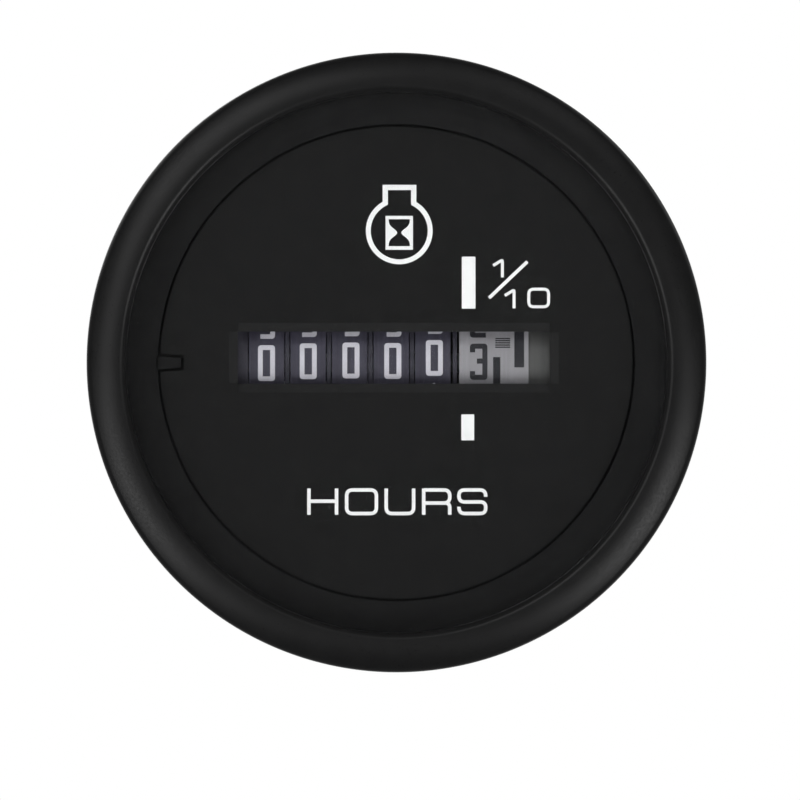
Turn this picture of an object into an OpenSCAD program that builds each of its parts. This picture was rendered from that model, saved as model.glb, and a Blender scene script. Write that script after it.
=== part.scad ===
// Panel hour meter: a five-figure counter with a tenths wheel, driven by a quartz-timed stepper motor.
// Millimetres. +X is right and +Z is up on the face, which looks along -Y.
// The origin is the centre of the panel cut-out, on the face of the panel that the gasket seats on.

/* [Bezel and lens] */
// Outer diameter of the bezel
bezel_d = 60; // [54:0.5:72]
// Width of the bezel's face, from its edge to the opening
bezel_face_w = 3.85; // [3.3:0.05:4.5]
// Thickness of the lip over the lens, at its crown
bezel_lip_t = 1; // [0.9:0.1:2]
// Slope of the crown where it meets the rounded edge, in degrees
bezel_slope = 24; // [12:1:30]
// Radius of the rounded outer edge
bezel_edge_r = 0.9; // [0.5:0.1:1.2]
// Wall of the bezel's skirt
bezel_skirt_t = 1.45; // [1.2:0.05:1.6]
// Height of the bead that snaps behind the case flange
bezel_bead = 0.4; // [0.3:0.05:0.5]
// Thickness of the lens
lens_t = 1.6; // [1:0.1:3]
// Thickness of the gasket under the lens
lens_gasket_t = 0.6; // [0.4:0.1:1.2]

/* [Dial and trim ring] */
// Width of the cove between the dial and the bezel's opening
cove_w = 3.25; // [2.5:0.05:4]
// Thickness of the dial
dial_t = 0.8; // [0.6:0.1:1.2]
// Width of the dial's window
window_w = 30.3; // [28:0.1:31.5]
// Height of the dial's window
window_h = 5.05; // [4:0.05:5.6]
// Height of the window's middle above the dial's centre
window_rise = 0.48; // [0:0.02:0.6]
// Distance of the window's middle to the right of the dial's centre
window_shift = -0.25; // [-0.5:0.05:0.5]
// Width of the bevel round the window
window_bevel = 0.85; // [0.4:0.05:1]
// Height of the trim ring's cove above the dial
cove_h = 2.8; // [1.5:0.1:5]
// Width of the key tab at its root
key_w = 1.3; // [0.8:0.1:2]
// Width of the key tab at its tip
key_tip_w = 0.9; // [0.6:0.1:1.6]
// Length of the key tab
key_l = 2.4; // [1:0.1:3]
// Clearance between the dial and the trim ring with its key tab
dial_room = 0.28; // [0.15:0.01:0.4]

/* [Case] */
// Distance from the edge of the bezel to the side of the case
case_inset = 4; // [3.7:0.1:4.4]
// Depth of the case behind the panel
case_depth = 38; // [34:0.5:45]
// Wall of the case
case_wall = 1.6; // [1.4:0.05:1.7]
// Thickness of the case flange
flange_t = 1.2; // [1:0.1:2]
// Thickness of the panel gasket
panel_gasket_t = 1.2; // [1:0.1:2]
// Diameter of the mounting studs
stud_d = 4; // [3:0.5:5]
// Length of the studs behind the case
stud_l = 18; // [10:1:30]
// Distance between the studs
stud_spacing = 28; // [24:0.5:32]
// Width of the terminal blades
blade_w = 6.3; // [4.8:0.1:6.3]
// Thickness of the terminal blades
blade_t = 0.8; // [0.5:0.1:0.8]
// Length of the blades behind the case
blade_l = 8; // [6:0.5:10]
// Distance between the terminal blades
blade_spacing = 15; // [13:0.5:17]

/* [Counter] */
// Diameter of the number wheels
wheel_d = 13.3; // [13.2:0.02:13.4]
// Distance from one number wheel to the next
wheel_pitch = 4.04; // [4:0.01:4.1]
// Space between two number wheels
wheel_gap = 0.6; // [0.5:0.02:0.64]
// Place of the units wheel's middle, right of the dial's centre
units_x = 3.53; // [3.4:0.01:3.6]
// Space between the units wheel and the tenths wheel
tenths_gap = 0.85; // [0.7:0.05:1]
// Width of the tenths wheel
tenths_w = 6.73; // [6.5:0.01:6.8]
// Figure that the tenths wheel shows
tenths_shown = 3; // [0:1:9]
// Diameter of the wheel shaft
shaft_d = 1.8; // [1.4:0.1:2]
// Thickness of the carrier plates between the wheels
carrier_t = 0.4; // [0.3:0.02:0.42]
// Teeth of the gear inside each number wheel
inner_teeth = 20; // [20:10:20]
// Teeth of a carry pinion
carry_teeth = 6; // [6:1:6]
// Module of the carry gearing
carry_module = 0.53; // [0.52:0.005:0.53]

/* [Gear train] */
// Teeth of the drive gear
drive_teeth = 50; // [48:1:50]
// Teeth of both small pinions
pinion_teeth = 8; // [8:1:8]
// Module of the drive gear
drive_module = 0.25; // [0.24:0.005:0.25]
// Teeth of the intermediate gear
intermediate_teeth = 64; // [60:1:64]
// Module of the intermediate gear
intermediate_module = 0.2; // [0.19:0.005:0.2]
// Width of the drive gear's teeth
drive_gear_w = 0.7; // [0.5:0.1:0.9]
// Width of the intermediate gear's teeth
intermediate_gear_w = 0.6; // [0.4:0.1:0.7]

/* [Motor] */
// Diameter of the rotor magnet
rotor_d = 4.2; // [3.6:0.1:4.4]
// Air gap round the rotor magnet
air_gap = 0.5; // [0.3:0.05:0.6]
// Thickness of the stator and of the coil core
lamination_t = 0.8; // [0.6:0.1:0.9]
// Length of the stator
stator_l = 20.4; // [18:0.2:22]
// Outer width of the winding
winding_w = 4.2; // [3.4:0.1:4.3]

/* [Circuit] */
// Space round the circuit board
board_room = 2.4; // [1.6:0.1:2.6]
// Thickness of the circuit board
board_t = 1.6; // [1:0.1:1.6]
// Diameter of the capacitor
capacitor_d = 6.3; // [5:0.1:6.5]
// Height of the capacitor
capacitor_h = 7.5; // [5:0.5:10]

/* [Hidden] */

$fn = 96;
// Overlap that keeps a cut from ending on a face
cut = 1;
// Room round pieces that drop into a seat
seat_fit = 0.15;
// Room round a shaft in its bore
running_fit = 0.05;
// Room round a shank in its hole
shank_fit = 0.03;
// Room between faces that turn past each other
side_play = 0.1;
// Room left at the bottom of a hole or a recess
end_room = 0.3;
// Pressure angle of every gear
pressure_angle = 20;
// Play between the flanks of two gears
tooth_play = 0.06;
// Tooth height outside the pitch circle, for each millimetre of module
addendum = 1;
// Tooth depth inside the pitch circle, for each millimetre of module
dedendum = 1.2;

// Depths along Y, from the panel forwards
flange_back = -panel_gasket_t;
pan_floor = flange_back - flange_t;
dial_front = pan_floor - dial_t;
cove_top = dial_front - cove_h;
lens_back = cove_top - lens_gasket_t;
lens_front = lens_back - lens_t;
bezel_front = lens_front - bezel_lip_t;
// Space between the bezel's skirt and the panel
bezel_lift = 0.3;
// Flat land and rounded corner beside the bezel's opening
lip_land = 0.8;
lip_round = 0.7;

// Radii of the nested rings
bezel_r = bezel_d / 2;
skirt_r = bezel_r - bezel_skirt_t;
flange_r = skirt_r - seat_fit;
pan_wall = 0.8;
pan_r = flange_r - pan_wall;
opening_r = bezel_r - bezel_face_w;
lip_cover = 0.25;
cove_r = opening_r + lip_cover;
dial_r = opening_r - cove_w;
trim_r = dial_r + dial_room;
cove_foot_r = trim_r + seat_fit;
case_r = bezel_r - case_inset;
case_bore_r = case_r - case_wall;
plate_seat_w = 0.8;
plate_r = case_bore_r + plate_seat_w - seat_fit;
rear_wall_y = case_depth - case_wall;
case_edge = 0.8;
// Space between the case and the panel gasket, for the edge of the cut-out
gasket_room = 0.9;
// Pegs on the back of the dial, in holes of the frame's front plate
dial_peg_r = 0.9;
dial_pegs = [[-13, -11.5], [13, -11.5]];

// Number wheels
wheel_r = wheel_d / 2;
wheel_w = wheel_pitch - wheel_gap;
wheel_count = 5;
dial_gap = 1.4;
axis_y = pan_floor + dial_gap + wheel_r;
shaft_r = shaft_d / 2;
hub_wall = 0.65;
hub_r = shaft_r + hub_wall;
bore_r = shaft_r + running_fit;
inner_tooth_depth = 0.45;
inner_tooth_height = 0.35;
inner_pitch_r = inner_teeth * carry_module / 2;
inner_root_r = inner_pitch_r + inner_tooth_depth;
inner_tip_r = inner_pitch_r - inner_tooth_height;
gear_cavity = 1.45;
carry_cavity = 1.35;
carry_ring_r = inner_pitch_r - side_play;
carry_notches = 3;
// Direction of the carry pinions from the wheel shaft: straight down
carry_angle = -90;
carry_tooth_height = 0.36;
carry_tooth_depth = 0.46;
cam_drop = 0.24;
carry_gear_pitch_r = carry_teeth * carry_module / 2;
carry_centre = inner_pitch_r - carry_gear_pitch_r;
carry_tip_r = carry_gear_pitch_r + carry_tooth_height;
carry_root_r = carry_gear_pitch_r - carry_tooth_depth;
cam_r = carry_gear_pitch_r - cam_drop;
cam_lobes = 3;
cam_hub_r = 0.75;
journal_r = 0.6;
degrees_per_figure = 36;
carry_point = 9.5;

// Places along X
function wheel_x(i) = units_x - (wheel_count - 1 - i) * wheel_pitch - wheel_w / 2;
tenths_x = wheel_x(wheel_count - 1) + wheel_w + tenths_gap;
function next_x(i) = i < wheel_count - 1 ? wheel_x(i + 1) : tenths_x;
function gap_middle(i) = (wheel_x(i) + wheel_w + next_x(i)) / 2;
drive_x = tenths_x + tenths_w;
collar_w = 2.04;
neck_w = 0.75;
drive_gear_x = drive_x + collar_w + neck_w;
collar_drop = 0.25;
collar_r = wheel_r - collar_drop;
neck_r = 3.2;
spigot_r = 2.6;
spigot_l = 1.6;
cheek_t = 1;
gear_room = 0.2;
right_cheek_x = drive_gear_x + drive_gear_w + gear_room;
right_outer_x = right_cheek_x + cheek_t;
end_collar_w = 1.4;
end_collar_x = wheel_x(0) - side_play - end_collar_w;
left_cheek_x = end_collar_x - cheek_t;

// Frame
cheek_h = 18;
cheek_corner = 2;
plate_t = flange_t;
web_t = 1.2;
web_inset = 1;
comb_room = 0.7;
comb_y = axis_y + wheel_r + comb_room;
comb_depth = 2.2;
comb_h = 3.6;
comb_end = 1;
web_y = comb_y + comb_depth;
web_back = web_y + web_t;
opening_margin = 0.85;
frame_opening_h = window_h + 2 * opening_margin;
carrier_rim = 0.75;
carrier_r = inner_root_r + carrier_rim;
carrier_tail_h = 2.4;
carrier_slot_fit = 0.05;
// Clip in a groove at the left end of the wheel shaft
clip_t = 0.4;
clip_rim = 1.1;
clip_groove_w = 0.6;
clip_groove_depth = 0.2;
clip_mouth = 0.3;
shaft_end = 1.2;
clip_x = left_cheek_x - clip_t - side_play;

// Gear train, from the drive gear back to the rotor
drive_pitch_r = drive_teeth * drive_module / 2;
drive_pinion_pitch_r = pinion_teeth * drive_module / 2;
intermediate_pitch_r = intermediate_teeth * intermediate_module / 2;
rotor_pinion_pitch_r = pinion_teeth * intermediate_module / 2;
mesh_room = 0.02;
arbor_y = axis_y + drive_pitch_r + drive_pinion_pitch_r + mesh_room;
rotor_y = arbor_y + intermediate_pitch_r + rotor_pinion_pitch_r + mesh_room;
arbor_r = 0.6;
pivot_r = 0.4;
rotor_r = rotor_d / 2;
stator_hole_r = rotor_r + air_gap;
stator_pad_h = 0.3;
stator_x = right_cheek_x - stator_pad_h - lamination_t;
core_x = stator_x - lamination_t;
rotor_x = stator_x - side_play;
rotor_l = lamination_t + 3 * side_play;
intermediate_x = right_outer_x + gear_room;
bridge_x = intermediate_x + intermediate_gear_w + gear_room;
bridge_t = 0.7;
bridge_post_r = 1.2;
bridge_post_y = axis_y;
bridge_post_z = 6.9;
bridge_arm = 2.4;
bridge_screw_r = 0.6;
bridge_head_r = 1;
bridge_head_h = 0.4;
screw_hold = 1.4;

// Rear of the case
blade_z = -10;
blade_shoulder = 0.6;
blade_tail_w = 2.4;
blade_hole_r = 0.85;
blade_tip = 1.2;
blade_fit = 0.1;
terminal_pad_h = 1;
terminal_pad_margin = 1.6;
stud_r = stud_d / 2;
stud_neck_r = stud_r + 0.4;
stud_boss_r = stud_r + 2.4;
stud_boss_h = 1.5;
stud_head_r = stud_r + 1.2;
stud_head_h = 1.2;
stud_tip = 0.5;

// Circuit board
board_post_r = 1.8;
board_posts = [[-13.5, 6.2], [-13.5, -6.2], [8, 0]];
board_screw_r = 1;
board_head_r = 1.9;
board_head_h = 0.9;
board_screw_l = 6;
board_back = rear_wall_y - stud_head_h - board_head_h - end_room;
board_y = board_back - board_t;
board_r = case_bore_r - board_room;

// Motor
stator_pole_h = 3.4;
stator_leg = 3.4;
pole_back = rotor_y + stator_pole_h;
coil_y = (pole_back + board_y) / 2;
coil_x = core_x + lamination_t / 2;
core_h = 2.2;
core_end = 3.2;
bobbin_wall = 0.5;
core_room = 0.05;
bobbin_tube_w = lamination_t + 2 * (core_room + bobbin_wall);
bobbin_tube_h = core_h + 2 * (core_room + bobbin_wall);
bobbin_flange_t = 0.7;
bobbin_flange_room = 0.4;
coil_room = 0.6;
bobbin_l = stator_l - 2 * (stator_leg + coil_room);
winding_l = bobbin_l - 2 * bobbin_flange_t;
bobbin_w = winding_w + bobbin_flange_room;
coil_screw_z = stator_l / 2 - stator_leg / 2;
coil_screw_r = 0.6;
coil_head_r = 1.1;
coil_head_h = 0.8;
coil_pin_r = 0.35;
coil_pin_inset = 0.6;
coil_pin_x = coil_x - bobbin_w / 2 + coil_pin_inset;
coil_pin_z = (bobbin_l - bobbin_flange_t) / 2;
// How far pins and blade tails stand out of the circuit board
solder_end = 0.5;
fork_room = 0.2;
// Widest reach of the winding's rounded corners, for each millimetre of its width
winding_round = 0.62;

// Places of the components on the front of the board, as X and Z
chip_at = [-2, 8];
crystal_at = [-8, 14];
capacitor_at = [-4, -14];
resistors_at = [4, 5];
resistor_pitch = 2.6;
diode_at = [4, -14];

black = "#1b1b1c";
dark = "#26262a";
steel = "#b9bcc0";
brass = "#c9a24a";

// Turns a solid that was drawn along Z so that it points along Y
module about_y() {
    rotate([-90, 0, 0]) children();
}

// Turns a solid that was drawn along Z so that it points along X, with its x and y on Y and Z
module along_x(x = 0, y = 0, z = 0) {
    translate([x, y, z]) rotate(a = 120, v = [1, 1, 1]) children();
}

module ring(outer_r, inner_r, h) {
    difference() {
        cylinder(r = outer_r, h = h);
        translate([0, 0, -cut]) cylinder(r = inner_r, h = h + 2 * cut);
    }
}

// Points on a stretch of an ellipse
function arc(centre, rx, ry, from, to, steps) =
    [for (k = [0 : steps]) let (a = from + (to - from) * k / steps) centre + [rx * cos(a), ry * sin(a)]];

function involute(angle) = tan(angle) * 180 / PI - angle;

// Half of a tooth's angle at radius r, with radial flanks inside the base circle
function half_tooth(r, base_r, half_at_pitch) =
    half_at_pitch + involute(pressure_angle) - (r > base_r ? involute(acos(base_r / r)) : 0);

// Outline of a spur gear with a tooth on the x axis; negative play gives the space for such a gear
function gear_outline(teeth, pitch_r, root_r, tip_r, play, steps = 3) =
    let (base_r = pitch_r * cos(pressure_angle))
    let (half = 90 / teeth - play / (2 * pitch_r) * 180 / PI)
    [for (t = [0 : teeth - 1], side = [-1, 1], k = [0 : steps])
        let (climb = side < 0 ? k : steps - k)
        let (r = root_r + (tip_r - root_r) * climb / steps)
        let (a = 360 * t / teeth + side * half_tooth(r, base_r, half))
        r * [cos(a), sin(a)]];

module spur_gear(teeth, pitch_r, module_size) {
    polygon(gear_outline(teeth, pitch_r, pitch_r - dedendum * module_size,
        pitch_r + addendum * module_size, tooth_play));
}

// Round-headed screw pointing along Z, with a driving slot in its head
module screw(shank_r, shank_l, head_r, head_h) {
    slot_w = head_r / 3;
    translate([0, 0, -shank_l]) cylinder(r = shank_r, h = shank_l);
    difference() {
        cylinder(r = head_r, h = head_h);
        translate([-head_r - cut, -slot_w / 2, head_h / 2]) cube([2 * (head_r + cut), slot_w, head_h]);
    }
}

// Push-on ring with a crowned front, a skirt over the case flange and a bead behind it
module bezel() {
    crown_in = opening_r + lip_land;
    crown_out = bezel_r - bezel_edge_r * (1 - sin(bezel_slope));
    crown_r = (crown_out - crown_in) / sin(bezel_slope);
    edge_y = bezel_front + crown_r * (1 - cos(bezel_slope));
    edge_middle = [bezel_r - bezel_edge_r, edge_y + bezel_edge_r * cos(bezel_slope)];
    bead_top = flange_back + running_fit;
    bead_r = skirt_r - bezel_bead;
    crown = arc([crown_in, bezel_front + crown_r], crown_r, -crown_r, 90, 90 - bezel_slope, 10);
    edge = arc(edge_middle, bezel_edge_r, -bezel_edge_r, 90 - bezel_slope, 0, 10);
    lip = arc([opening_r + lip_round, bezel_front + lip_round], -lip_round, -lip_round, 0, 80, 5);
    color(black) about_y() rotate_extrude() polygon(concat(
        [[skirt_r, lens_front], [opening_r, lens_front]], lip, crown, edge,
        [[bezel_r, -bezel_lift], [bead_r + bezel_bead / 2, -bezel_lift],
            [bead_r, (bead_top - bezel_lift) / 2], [bead_r, bead_top], [skirt_r, bead_top]]));
}

module lens() {
    color("#cfe0ea", 0.3) translate([0, lens_front, 0]) about_y()
        cylinder(r = pan_r - seat_fit, h = lens_t);
}

module lens_gasket() {
    color(dark) translate([0, lens_back, 0]) about_y()
        ring(pan_r - seat_fit, cove_r + side_play, lens_gasket_t);
}

// Outline of the key tab, tapered to its tip, with the given room round it
module key_outline(room = 0) {
    tip_x = key_l - cove_foot_r + room;
    polygon([[-cove_foot_r, -key_w / 2 - room], [tip_x, -key_tip_w / 2 - room],
        [tip_x, key_tip_w / 2 + room], [-cove_foot_r, key_w / 2 + room]]);
}

// Ring whose cove rises from the dial to the lens, with a tab that keys the dial
module trim_ring() {
    cove = arc([cove_foot_r, cove_top], cove_r - cove_foot_r, cove_h, 90, 0, 12);
    color(black) union() {
        about_y() rotate_extrude() polygon(concat([[trim_r, pan_floor], [trim_r, dial_front]], cove,
            [[pan_r - seat_fit, cove_top], [pan_r - seat_fit, pan_floor]]));
        translate([0, dial_front, 0]) about_y() linear_extrude(dial_t) key_outline();
    }
}

// Wedge along the x axis that bevels an edge of the window
module bevel(length) {
    depth = dial_t / 2;
    translate([-length / 2, 0, 0]) rotate([90, 0, 90]) linear_extrude(length)
        polygon([[-cut, -window_bevel * (1 + cut / depth)], [depth, 0], [depth, cut], [-cut, cut]]);
}

module dial() {
    color(black) difference() {
        union() {
            translate([0, dial_front, 0]) about_y() cylinder(r = dial_r, h = dial_t);
            for (peg = dial_pegs) translate([peg[0], dial_front + dial_t / 2, peg[1]]) about_y()
                cylinder(r = dial_peg_r, h = dial_t / 2 + plate_t);
        }
        translate([window_shift - window_w / 2, dial_front - cut, window_rise - window_h / 2])
            cube([window_w, dial_t + 2 * cut, window_h]);
        translate([0, dial_front - cut, 0]) about_y()
            linear_extrude(dial_t + 2 * cut) key_outline(dial_room);
        translate([window_shift, dial_front, window_rise]) for (side = [0, 180]) rotate([0, side, 0]) {
            translate([0, 0, -window_h / 2]) bevel(window_w);
            translate([-window_w / 2, 0, 0]) rotate([0, 90, 0]) bevel(window_h);
        }
    }
}

// Cup with a flange and a pan in front of the panel, stud bosses and a terminal pad behind
module case() {
    pan_top = lens_front + lens_t / 2;
    pad_w = blade_spacing + blade_w + 2 * terminal_pad_margin;
    pad_h = blade_t + 2 * terminal_pad_margin;
    color(black) difference() {
        union() {
            about_y() rotate_extrude() polygon([[0, case_depth], [case_r - case_edge, case_depth],
                [case_r, case_depth - case_edge], [case_r, flange_back], [flange_r, flange_back],
                [flange_r, pan_top], [pan_r, pan_top], [pan_r, pan_floor],
                [case_bore_r + plate_seat_w, pan_floor], [case_bore_r + plate_seat_w, pan_floor + plate_t],
                [case_bore_r, pan_floor + plate_t], [case_bore_r, rear_wall_y], [0, rear_wall_y]]);
            for (side = [-1, 1]) translate([side * stud_spacing / 2, case_depth - cut, 0])
                about_y() cylinder(r = stud_boss_r, h = stud_boss_h + cut);
            translate([-pad_w / 2, case_depth - cut, blade_z - pad_h / 2])
                cube([pad_w, terminal_pad_h + cut, pad_h]);
        }
        for (side = [-1, 1]) {
            translate([side * stud_spacing / 2, rear_wall_y - cut, 0]) about_y()
                cylinder(r = stud_neck_r + shank_fit, h = case_wall + stud_boss_h + 2 * cut);
            translate([side * blade_spacing / 2 - blade_w / 2 - blade_fit, rear_wall_y - cut,
                blade_z - blade_t / 2 - blade_fit])
                cube([blade_w + 2 * blade_fit, case_wall + terminal_pad_h + 2 * cut,
                    blade_t + 2 * blade_fit]);
        }
    }
}

module panel_gasket() {
    color(dark) translate([0, flange_back, 0]) about_y()
        ring(skirt_r - bezel_bead - side_play, case_r + gasket_room, panel_gasket_t);
}

// Headed studs pushed through the rear wall from inside, with a thicker neck in the wall
module mounting_studs() {
    neck_y = case_depth + stud_boss_h;
    tip_y = neck_y + stud_l - stud_tip;
    color(steel) for (side = [-1, 1]) translate([side * stud_spacing / 2, 0, 0]) about_y() {
        translate([0, 0, rear_wall_y - stud_head_h]) cylinder(r = stud_head_r, h = stud_head_h);
        translate([0, 0, rear_wall_y]) cylinder(r = stud_neck_r, h = neck_y - rear_wall_y);
        translate([0, 0, neck_y]) cylinder(r = stud_r, h = tip_y - neck_y);
        translate([0, 0, tip_y]) cylinder(r1 = stud_r, r2 = stud_r - stud_tip, h = stud_tip);
    }
}

// Blade with a pierced, tapered tip and a narrow tail through the circuit board
module blade_terminal(x) {
    tip_y = case_depth + terminal_pad_h + blade_l;
    shoulder_y = board_back + blade_shoulder;
    tail_y = board_y - solder_end;
    half = blade_w / 2;
    tail = blade_tail_w / 2;
    color(brass) translate([x, 0, blade_z]) difference() {
        translate([0, 0, -blade_t / 2]) linear_extrude(blade_t) polygon([[-tail, tail_y],
            [tail, tail_y], [tail, shoulder_y], [half, shoulder_y], [half, tip_y - blade_tip],
            [half - blade_tip, tip_y], [blade_tip - half, tip_y], [-half, tip_y - blade_tip],
            [-half, shoulder_y], [-tail, shoulder_y]]);
        translate([0, tip_y - blade_l / 2, -blade_t]) cylinder(r = blade_hole_r, h = 2 * blade_t);
    }
}

module positive_terminal() {
    blade_terminal(blade_spacing / 2);
}

module negative_terminal() {
    blade_terminal(-blade_spacing / 2);
}

// Side plate in the Y-Z plane, with cut corners at the back
module cheek(x, back_y) {
    half = cheek_h / 2;
    corner = cheek_corner;
    front_y = pan_floor + plate_t / 2;
    along_x(x) linear_extrude(cheek_t) polygon([[front_y, -half], [back_y - corner, -half],
        [back_y, corner - half], [back_y, half - corner], [back_y - corner, half], [front_y, half]]);
}

// Moulded frame: front plate behind the dial, two cheeks, rear web, comb, and posts for motor and board
module counter_frame() {
    fork_back = coil_y + stator_leg / 2;
    fork_in = bobbin_l / 2 + fork_room;
    opening_x = left_cheek_x + cheek_t;
    opening_w = right_cheek_x - opening_x;
    board_hole_y = board_back - board_screw_l - end_room;
    color(dark) difference() {
        union() {
            translate([0, pan_floor, 0]) about_y() cylinder(r = plate_r, h = plate_t);
            cheek(left_cheek_x, web_back);
            cheek(right_cheek_x, fork_back);
            translate([left_cheek_x + cheek_t / 2, web_y, web_inset - cheek_h / 2])
                cube([right_cheek_x - left_cheek_x, web_t, cheek_h - 2 * web_inset]);
            translate([wheel_x(0), comb_y, -comb_h / 2])
                cube([tenths_x - wheel_x(0) + comb_end, comb_depth + web_t / 2, comb_h]);
            for (side = [-1, 1]) {
                along_x(right_cheek_x + cheek_t / 2, bridge_post_y, side * bridge_post_z)
                    cylinder(r = bridge_post_r, h = bridge_x - right_cheek_x - cheek_t / 2);
                along_x(stator_x + lamination_t, coil_y, side * coil_screw_z)
                    cylinder(r = stator_leg / 2, h = stator_pad_h + cheek_t / 2);
            }
            for (post = board_posts) translate([post[0], web_y + web_t / 2, post[1]]) about_y()
                cylinder(r = board_post_r, h = board_y - web_y - web_t / 2);
        }
        translate([opening_x, pan_floor - cut, window_rise - frame_opening_h / 2])
            cube([opening_w, plate_t + 2 * cut, frame_opening_h]);
        for (peg = dial_pegs) translate([peg[0], pan_floor - cut, peg[1]]) about_y()
            cylinder(r = dial_peg_r + shank_fit, h = plate_t + 2 * cut);
        translate([right_cheek_x - cut, pole_back + fork_room, -fork_in])
            cube([cheek_t + 2 * cut, fork_back - pole_back, 2 * fork_in]);
        for (i = [0 : wheel_count - 1])
            translate([gap_middle(i) - carrier_t / 2 - carrier_slot_fit, comb_y - cut, -comb_h])
                cube([carrier_t + 2 * carrier_slot_fit, comb_depth + cut, 2 * comb_h]);
        along_x(left_cheek_x - cut, axis_y)
            cylinder(r = shaft_r + shank_fit, h = right_outer_x - left_cheek_x + 2 * cut);
        along_x(right_cheek_x - cut, arbor_y) cylinder(r = arbor_r + running_fit, h = cheek_t + 2 * cut);
        along_x(right_cheek_x - cut, rotor_y) cylinder(r = arbor_r + running_fit, h = cheek_t + 2 * cut);
        for (side = [-1, 1]) {
            along_x(bridge_x - screw_hold, bridge_post_y, side * bridge_post_z)
                cylinder(r = bridge_screw_r + shank_fit, h = screw_hold + cut);
            along_x(stator_x, coil_y, side * coil_screw_z)
                cylinder(r = coil_screw_r + shank_fit, h = right_outer_x - stator_x + cut);
        }
        for (post = board_posts) translate([post[0], board_hole_y, post[1]]) about_y()
            cylinder(r = board_screw_r + shank_fit, h = board_y + cut - board_hole_y);
    }
}

// Fixed shaft that the wheels turn on, with a groove for its clip
module wheel_shaft() {
    shaft_x = left_cheek_x - shaft_end;
    groove_x = clip_x - (clip_groove_w - clip_t) / 2;
    color(steel) difference() {
        along_x(shaft_x, axis_y) cylinder(r = shaft_r, h = right_outer_x - shaft_x);
        along_x(groove_x, axis_y) ring(shaft_r + cut, shaft_r - clip_groove_depth, clip_groove_w);
    }
}

module shaft_clip() {
    clip_r = shaft_r + clip_rim;
    mouth = shaft_r - clip_mouth;
    color(steel) along_x(clip_x, axis_y) difference() {
        ring(clip_r, shaft_r - clip_groove_depth + shank_fit, clip_t);
        translate([0, -mouth, -cut]) cube([clip_r + cut, 2 * mouth, clip_t + 2 * cut]);
    }
}

module end_collar() {
    color(dark) along_x(end_collar_x, axis_y) ring(collar_r, shaft_r + shank_fit, end_collar_w);
}

// Space inside a wheel's left side: the locking ring and the notches that turn the next pinion
module carry_space(shown) {
    notch_pitch = 360 / inner_teeth;
    notch_w = notch_pitch * PI / 180 * inner_pitch_r / 2;
    difference() {
        union() {
            circle(r = carry_ring_r);
            rotate(carry_angle - degrees_per_figure * (shown - carry_point))
                for (k = [0 : carry_notches - 1]) rotate((k - (carry_notches - 1) / 2) * notch_pitch)
                    translate([0, -notch_w / 2]) square([inner_root_r, notch_w]);
        }
        circle(r = hub_r);
    }
}

// Space inside a wheel's right side: the gear that its carry pinion turns
module inner_gear_space() {
    difference() {
        rotate(carry_angle)
            polygon(gear_outline(inner_teeth, inner_pitch_r, inner_tip_r, inner_root_r, -tooth_play));
        circle(r = hub_r);
    }
}

module number_wheel(i) {
    color(dark) along_x(wheel_x(i), axis_y) difference() {
        cylinder(r = wheel_r, h = wheel_w);
        if (i > 0) translate([0, 0, -cut]) linear_extrude(carry_cavity + cut) carry_space(0);
        translate([0, 0, wheel_w - gear_cavity]) linear_extrude(gear_cavity + cut) inner_gear_space();
        translate([0, 0, -cut]) cylinder(r = bore_r, h = wheel_w + 2 * cut);
    }
}

module ten_thousands_wheel() {
    number_wheel(0);
}

module thousands_wheel() {
    number_wheel(1);
}

module hundreds_wheel() {
    number_wheel(2);
}

module tens_wheel() {
    number_wheel(3);
}

module units_wheel() {
    number_wheel(4);
}

module tenths_wheel() {
    color("#c9c8cc") along_x(tenths_x, axis_y) difference() {
        cylinder(r = wheel_r, h = tenths_w);
        translate([0, 0, -cut]) linear_extrude(carry_cavity + cut) carry_space(tenths_shown);
        translate([0, 0, tenths_w - spigot_l - side_play])
            cylinder(r = spigot_r + shank_fit, h = spigot_l + side_play + cut);
        translate([0, 0, -cut]) cylinder(r = bore_r, h = tenths_w + 2 * cut);
    }
}

// Collar, neck and toothed wheel in one piece, pressed into the tenths wheel by its spigot
module drive_gear() {
    color("#6f6f72") along_x(drive_x, axis_y) difference() {
        union() {
            translate([0, 0, -spigot_l]) cylinder(r = spigot_r, h = spigot_l + cut);
            cylinder(r = collar_r, h = collar_w);
            cylinder(r = neck_r, h = collar_w + neck_w + drive_gear_w / 2);
            translate([0, 0, collar_w + neck_w]) linear_extrude(drive_gear_w)
                spur_gear(drive_teeth, drive_pitch_r, drive_module);
        }
        translate([0, 0, -spigot_l - cut]) cylinder(r = bore_r, h = drive_gear_x + drive_gear_w + cut);
    }
}

// Fixed plate between two wheels, held by its tail in the comb, slotted for a carry pinion
module carrier_plate(i) {
    tail_l = web_y - side_play - axis_y;
    slot_w = 2 * (journal_r + running_fit);
    color(steel) along_x(gap_middle(i) - carrier_t / 2, axis_y) difference() {
        union() {
            cylinder(r = carrier_r, h = carrier_t);
            translate([0, -carrier_tail_h / 2, 0]) cube([tail_l, carrier_tail_h, carrier_t]);
        }
        translate([0, 0, -cut]) cylinder(r = shaft_r + running_fit, h = carrier_t + 2 * cut);
        rotate(carry_angle) translate([carry_centre, 0, -cut])
            cylinder(r = journal_r + running_fit, h = carrier_t + 2 * cut);
        rotate(carry_angle) translate([carry_centre, -slot_w / 2, -cut])
            cube([carrier_r, slot_w, carrier_t + 2 * cut]);
    }
}

module carrier_plate_1() {
    carrier_plate(0);
}

module carrier_plate_2() {
    carrier_plate(1);
}

module carrier_plate_3() {
    carrier_plate(2);
}

module carrier_plate_4() {
    carrier_plate(3);
}

module carrier_plate_5() {
    carrier_plate(4);
}

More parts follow.
